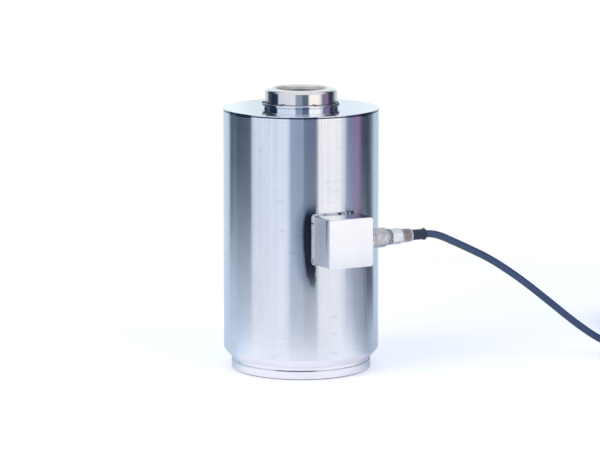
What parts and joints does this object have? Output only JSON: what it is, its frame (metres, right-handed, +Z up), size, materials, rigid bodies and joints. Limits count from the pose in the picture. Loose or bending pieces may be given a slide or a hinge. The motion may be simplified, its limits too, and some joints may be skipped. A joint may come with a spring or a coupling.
{
  "type": "column load cell",
  "caption": "Column load cell: a strain-gauge column sealed in a welded round case, with a tapped load socket on top, a bolt-down base, a side junction box and a coiled cable.",
  "frame": {"origin": "centre of the flat base face", "axes": "+Z up along the column's axis, out of the load socket; the junction box faces -Y and the cable leaves it along +X"},
  "size_m": [0.4134, 0.124, 0.1841],
  "materials": {
    "stainless": "fine turned and polished",
    "header_glass": "fused",
    "pin_metal": "plated",
    "nickel_plate": "satin nickel plate",
    "sleeve_metal": "plated, knurled",
    "plated_steel": "zinc plate",
    "seal_rubber": "matte",
    "cable_jacket": "satin jacket",
    "tie_nylon": "smooth",
    "lead_red": "smooth",
    "lead_black": "smooth",
    "lead_green": "smooth",
    "lead_white": "smooth",
    "lead_shield": "smooth",
    "gauge_film": "film",
    "wire_insulation": "smooth",
    "board_laminate": "coated",
    "resistor_body": "lacquered"
  },
  "bodies": {
    "root": {"axial_gauge_1": "gauge_film", "axial_gauge_2": "gauge_film", "axial_gauge_3": "gauge_film", "axial_gauge_4": "gauge_film", "board_screws": "plated_steel", "board_standoffs": "pin_metal", "box_cover": "stainless", "bridge_board": "board_laminate", "cable_boot": "cable_jacket", "cable_coil": "cable_jacket", "cable_end": "cable_jacket", "cable_inner_end": "cable_jacket", "cable_lead": "cable_jacket", "case_tube": "stainless", "coil_tie_1": "tie_nylon", "coil_tie_2": "tie_nylon", "core_leads": "wire_insulation", "gauge_wires_1": "wire_insulation", "gauge_wires_2": "wire_insulation", "gauge_wires_3": "wire_insulation", "gauge_wires_4": "wire_insulation", "gland_body": "nickel_plate", "gland_ferrule": "sleeve_metal", "gland_nut": "nickel_plate", "gland_seal": "seal_rubber", "gland_washer": "seal_rubber", "header_glass": "header_glass", "header_pins": "pin_metal", "header_ring": "stainless", "junction_box": "stainless", "lead_black": "lead_black", "lead_green": "lead_green", "lead_red": "lead_red", "lead_shield": "lead_shield", "lead_white": "lead_white", "signal_wires": "wire_insulation", "span_resistor_1": "resistor_body", "span_resistor_2": "resistor_body", "spring_element": "stainless", "stay_diaphragm": "stainless", "strain_relief_sleeve": "sleeve_metal", "top_cover": "stainless", "transverse_gauge_1": "gauge_film", "transverse_gauge_2": "gauge_film", "transverse_gauge_3": "gauge_film", "transverse_gauge_4": "gauge_film", "zero_resistor_1": "resistor_body", "zero_resistor_2": "resistor_body"}
  },
  "joints": []
}
